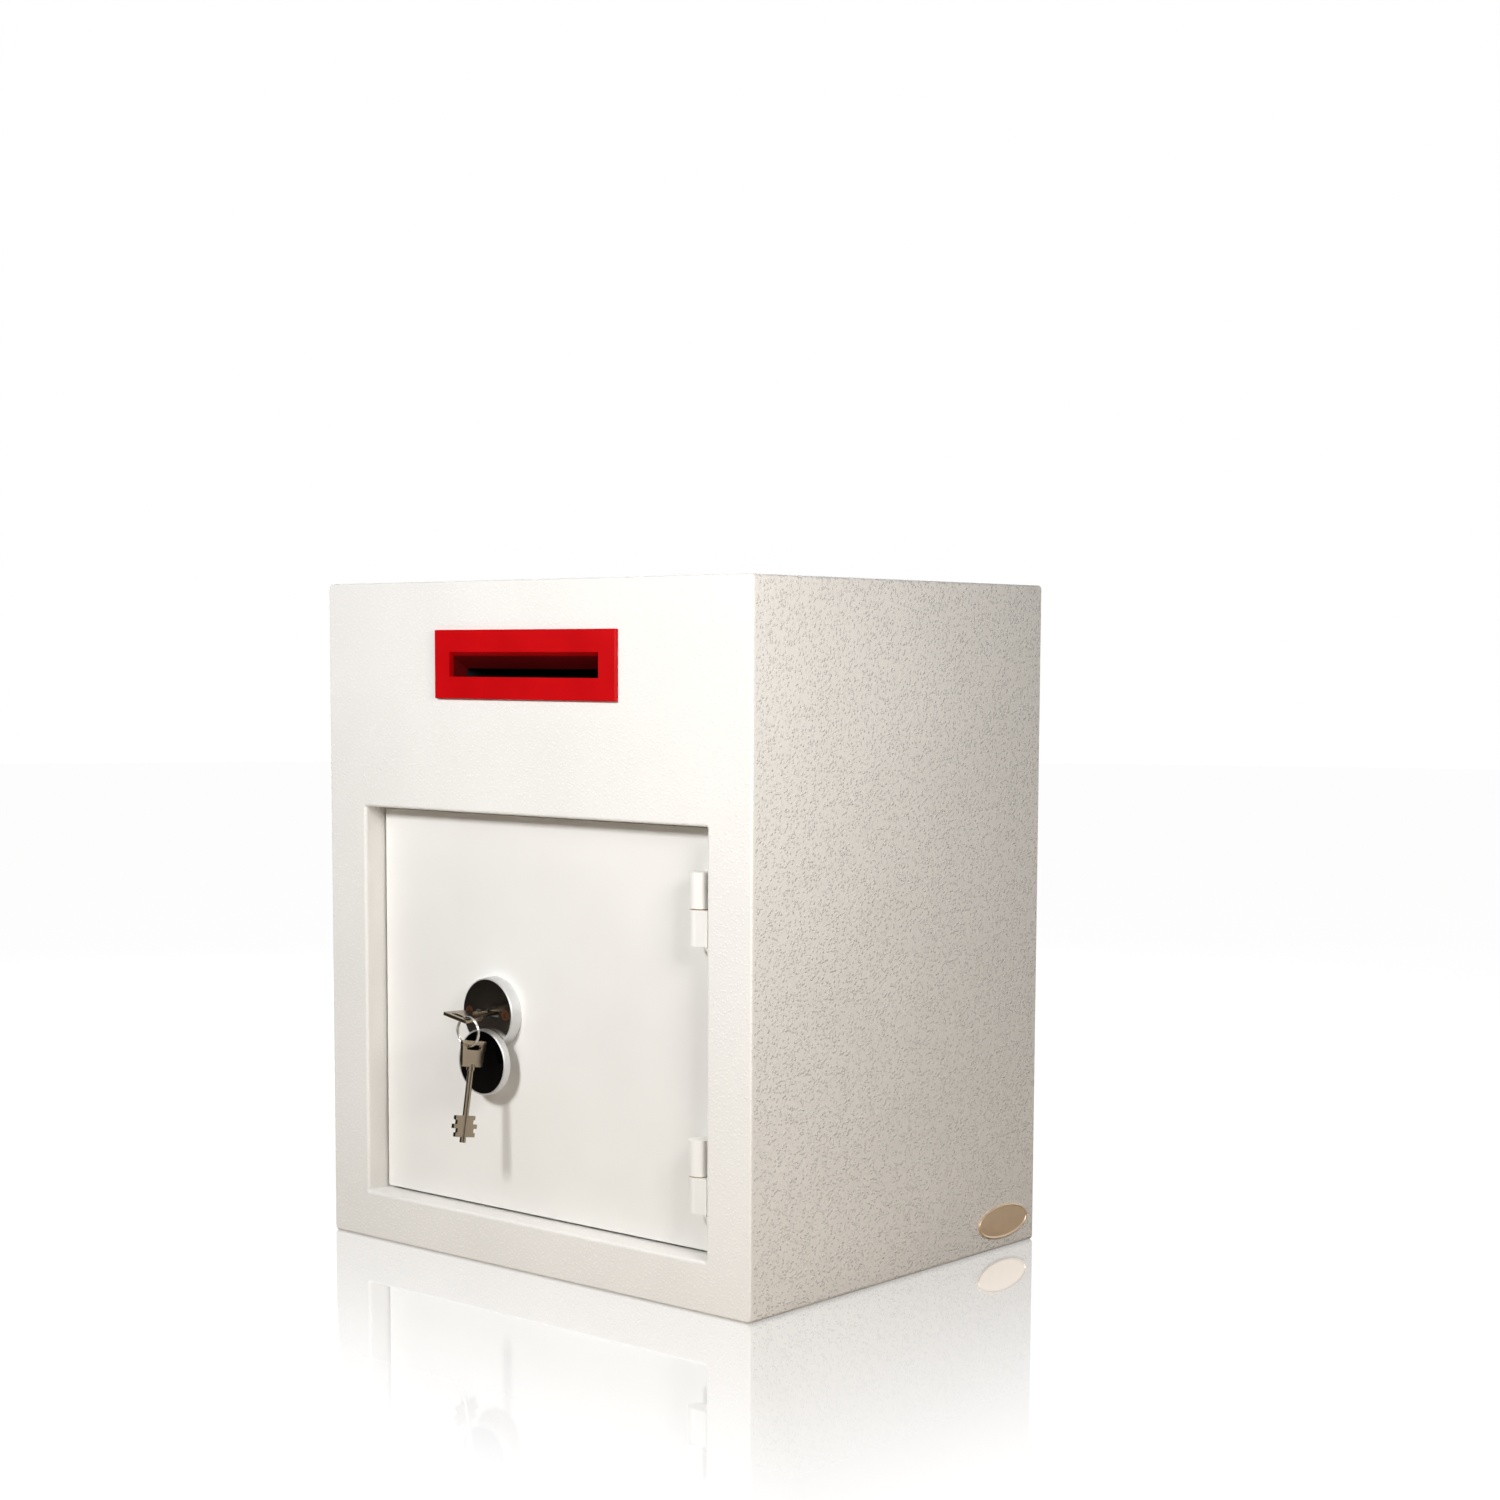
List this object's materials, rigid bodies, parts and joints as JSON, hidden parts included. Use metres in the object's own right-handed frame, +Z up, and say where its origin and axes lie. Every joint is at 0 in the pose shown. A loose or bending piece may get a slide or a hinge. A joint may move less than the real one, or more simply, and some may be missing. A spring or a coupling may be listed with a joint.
{
  "type": "deposit safe",
  "caption": "Free-standing steel deposit safe: a slanted letter slot over a recessed, hinged door with a double-bit key lock.",
  "frame": {"origin": "middle of the cabinet's underside", "axes": "+X to the right seen from the front, +Y into the safe, +Z up"},
  "size_m": [0.4266, 0.3696, 0.5],
  "materials": {
    "light_coat": "textured powder coat, off-white",
    "door_coat": "smooth powder coat, off-white",
    "red_coat": "satin red paint",
    "dark_coat": "matt black paint",
    "zinc": "zinc plated",
    "steel": "plain steel",
    "hard_steel": "hardened, black oxide",
    "polished": "polished",
    "silver": "satin",
    "black_gloss": "gloss",
    "nickel": "nickel plated",
    "brass": "satin",
    "rubber": "matt",
    "badge": "satin"
  },
  "bodies": {
    "cabinet": {"cabinet_wrap": "light_coat", "back_panel": "light_coat", "front_panel": "light_coat", "stop_frame": "light_coat", "door_buffers": "rubber", "slot_bezel": "red_coat", "bezel_studs": "zinc", "bezel_nuts": "zinc", "deposit_chute": "dark_coat", "fishing_comb": "dark_coat", "baffle_plate": "light_coat", "frame_knuckles": "light_coat", "hinge_pins": "steel", "hinge_washers": "brass", "oval_badge": "badge"},
    "door": {"door_plate": "door_coat", "door_knuckles": "light_coat", "dog_bar": "door_coat", "bolt_guide": "door_coat", "drill_plate": "hard_steel", "lock_case": "zinc", "lock_lid": "zinc", "lock_screws": "zinc", "lock_lever_1": "brass", "lock_lever_2": "brass", "lock_lever_3": "brass", "lock_lever_4": "brass", "lock_lever_5": "brass", "lever_post": "steel", "lever_springs": "steel", "inner_cover": "door_coat", "cover_feet": "door_coat", "inner_cover_screws": "zinc", "escutcheon_rose": "silver", "escutcheon_face": "polished", "escutcheon_screws": "zinc", "cover_pivot": "steel", "cover_washer": "steel"},
    "boltwork": {"lock_bolt": "steel", "bolt_bar": "steel", "locking_bolts": "polished", "tail_screws": "zinc", "tail_nuts": "zinc"},
    "key": {"key_in_lock": "nickel", "lock_curtain": "steel"},
    "keyhole_cover": {"keyhole_cover": "silver", "keyhole_cover_face": "black_gloss"},
    "key_ring": {"key_ring": "nickel"},
    "spare_key": {"spare_key": "nickel"}
  },
  "joints": [
    {"name": "door_swing", "type": "hinge", "parent": "cabinet", "child": "door", "pos_m": [0.1602, -0.16, 0.1845], "axis": [0, 0, 1], "range_deg": [0, 180]},
    {"name": "key_turn", "type": "hinge", "parent": "door", "child": "key", "pos_m": [-0.05, -0.149, 0.1845], "axis": [0, 1, 0], "range_deg": [-10.02, 350.02]},
    {"name": "bolt_throw", "type": "slide", "parent": "door", "child": "boltwork", "axis": [-1, 0, 0], "range_m": [-0.0005, 0.0175]},
    {"name": "cover_swing", "type": "hinge", "parent": "door", "child": "keyhole_cover", "pos_m": [-0.05, -0.1615, 0.1666], "axis": [0, 1, 0], "range_deg": [-80, 80]},
    {"name": "ring_swing", "type": "hinge", "parent": "key", "child": "key_ring", "pos_m": [-0.04072, -0.1862, 0.18286], "axis": [0, 1, 0], "range_deg": [-5, 20]},
    {"name": "spare_key_swing", "type": "hinge", "parent": "key_ring", "child": "spare_key", "pos_m": [-0.04072, -0.1862, 0.16391], "axis": [1, 0, 0], "range_deg": [-60, 20]}
  ],
  "couplings": [
    {"joint": "key_turn", "follows": "bolt_throw", "rad_per_m": 349.07}
  ]
}
